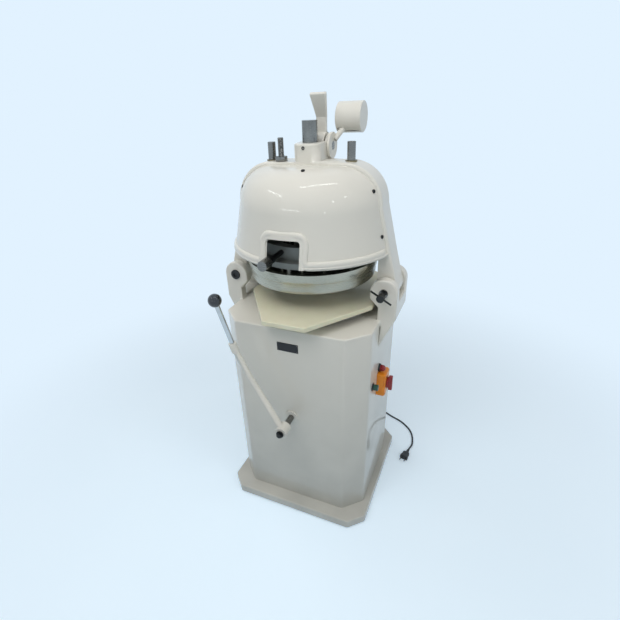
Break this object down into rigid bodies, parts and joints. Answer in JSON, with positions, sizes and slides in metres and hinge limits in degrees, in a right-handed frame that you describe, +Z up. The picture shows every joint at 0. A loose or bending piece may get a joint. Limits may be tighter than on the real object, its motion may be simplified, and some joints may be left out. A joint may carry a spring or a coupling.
{
  "type": "dough divider rounder",
  "caption": "Floor-standing bakery divider rounder: cast cabinet, tilting domed press head with lever and counterweight, dough plate on an orbiting table, rounding lever.",
  "frame": {"origin": "on the floor under the middle of the base plate", "axes": "+X to the right as the user faces the machine, -Y to the front, +Z up"},
  "size_m": [0.6797, 0.7927, 1.4272],
  "materials": {
    "enamel": "glossy white enamel",
    "cast_grey": "grey cast surface",
    "bright_steel": "turned and ground steel",
    "dark_steel": "blackened steel",
    "aluminium": "satin cast aluminium",
    "ivory_board": "pale food-safe board",
    "black_rubber": "matt black",
    "black_plastic": "polished black",
    "orange_plastic": "moulded orange",
    "red_plastic": "moulded dark red",
    "green_plastic": "moulded dark green",
    "brass": "turned brass"
  },
  "bodies": {
    "stand": {"base_plate": "enamel", "cabinet_shell": "enamel", "rear_panel": "enamel", "rear_panel_screws": "dark_steel", "body_casting": "enamel", "hinge_pin": "dark_steel", "lock_bush": "bright_steel", "lever_bush": "enamel", "bearing_housing": "cast_grey", "deck_bearings": "bright_steel", "motor": "cast_grey", "motor_bracket": "cast_grey", "drive_belt": "black_rubber", "switch_box": "orange_plastic", "pilot_lamp": "red_plastic", "name_plate": "black_plastic", "cord_gland": "black_rubber", "cord_drop": "black_rubber", "cord_coil": "black_rubber", "cord_lead": "black_rubber", "plug": "black_rubber"},
    "head": {"head_frame": "enamel", "front_cover": "enamel", "rear_cover": "enamel", "cover_screws": "dark_steel", "guide_bushes": "brass", "stop_screw": "bright_steel", "lever_bushes": "brass", "hinge_bush": "brass", "return_springs": "bright_steel"},
    "press_lever": {"sector_shaft": "bright_steel", "gear_sector": "cast_grey", "press_lever": "enamel", "weight_arm": "enamel", "counterweight": "enamel"},
    "ram": {"ram_rack": "bright_steel", "crosshead": "cast_grey", "guide_rods": "bright_steel", "press_ring": "aluminium", "ring_posts": "bright_steel", "press_plates": "aluminium"},
    "knives": {"knife_grid": "bright_steel"},
    "lock": {"lock_ring": "cast_grey", "lock_handle": "dark_steel", "lock_knob": "bright_steel"},
    "crank": {"crank_shaft": "bright_steel", "drive_pulley": "cast_grey"},
    "table": {"rounding_table": "cast_grey", "dough_plate": "ivory_board"},
    "idler_1": {"idler_crank_1": "bright_steel"},
    "idler_2": {"idler_crank_2": "bright_steel"},
    "idler_3": {"idler_crank_3": "bright_steel"},
    "motor_rotor": {"motor_pulley": "bright_steel"},
    "round_lever": {"round_lever_shaft": "bright_steel", "round_lever_arm": "enamel", "round_lever_rod": "bright_steel", "ball_knob": "black_plastic"},
    "lock_screw": {"lock_screw": "dark_steel"},
    "switch_knob": {"switch_knob": "red_plastic"},
    "start_button": {"start_button": "green_plastic"}
  },
  "joints": [
    {"name": "head_tilt", "type": "hinge", "parent": "stand", "child": "head", "pos_m": [-0.262, 0, 0.885], "axis": [0, -1, 0], "range_deg": [0, 80]},
    {"name": "lever_pull", "type": "hinge", "parent": "head", "child": "press_lever", "pos_m": [0, 0.066, 1.284], "axis": [1, 0, 0], "range_deg": [0, 64]},
    {"name": "ram_slide", "type": "slide", "parent": "head", "child": "ram", "axis": [0, 0, -1], "range_m": [0, 0.0606], "stiffness_N_per_m": 4000, "springref_m": -0.12, "deforming": ["return_springs"]},
    {"name": "knife_drop", "type": "slide", "parent": "ram", "child": "knives", "axis": [0, 0, -1], "range_m": [0, 0.02]},
    {"name": "lock_turn", "type": "hinge", "parent": "ram", "child": "lock", "pos_m": [0, 0, 1.016], "axis": [0, 0, 1], "range_deg": [0, 14]},
    {"name": "crank_spin", "type": "hinge", "parent": "stand", "child": "crank", "pos_m": [0, 0, 0.79], "axis": [0, 0, 1], "continuous": true},
    {"name": "table_orbit", "type": "hinge", "parent": "crank", "child": "table", "pos_m": [0.015, 0, 0.806], "axis": [0, 0, 1], "continuous": true},
    {"name": "idler_spin_1", "type": "hinge", "parent": "stand", "child": "idler_1", "pos_m": [0, 0.14, 0.79], "axis": [0, 0, 1], "continuous": true},
    {"name": "idler_spin_2", "type": "hinge", "parent": "stand", "child": "idler_2", "pos_m": [-0.12124, -0.07, 0.79], "axis": [0, 0, 1], "continuous": true},
    {"name": "idler_spin_3", "type": "hinge", "parent": "stand", "child": "idler_3", "pos_m": [0.12124, -0.07, 0.79], "axis": [0, 0, 1], "continuous": true},
    {"name": "motor_spin", "type": "hinge", "parent": "stand", "child": "motor_rotor", "pos_m": [0, 0.146, 0.654], "axis": [0, 0, 1], "continuous": true},
    {"name": "round_lever_swing", "type": "hinge", "parent": "stand", "child": "round_lever", "pos_m": [0, -0.304, 0.438], "axis": [0, 1, 0], "range_deg": [0, 55]},
    {"name": "lock_screw_turn", "type": "hinge", "parent": "stand", "child": "lock_screw", "pos_m": [0.262, -0.111, 0.885], "axis": [0, 1, 0], "range_deg": [-180, 0]},
    {"name": "switch_turn", "type": "hinge", "parent": "stand", "child": "switch_knob", "pos_m": [0.288, -0.038, 0.531], "axis": [1, 0, 0], "range_deg": [0, 90]},
    {"name": "button_press", "type": "slide", "parent": "stand", "child": "start_button", "axis": [-1, 0, 0], "range_m": [0, 0.0035], "stiffness_N_per_m": 800}
  ],
  "couplings": [
    {"joint": "ram_slide", "follows": "lever_pull", "m_per_rad": 0.054},
    {"joint": "table_orbit", "follows": "crank_spin", "ratio": -1},
    {"joint": "idler_spin_1", "follows": "crank_spin", "ratio": 1},
    {"joint": "idler_spin_2", "follows": "crank_spin", "ratio": 1},
    {"joint": "idler_spin_3", "follows": "crank_spin", "ratio": 1},
    {"joint": "motor_spin", "follows": "crank_spin", "ratio": 3.857}
  ]
}
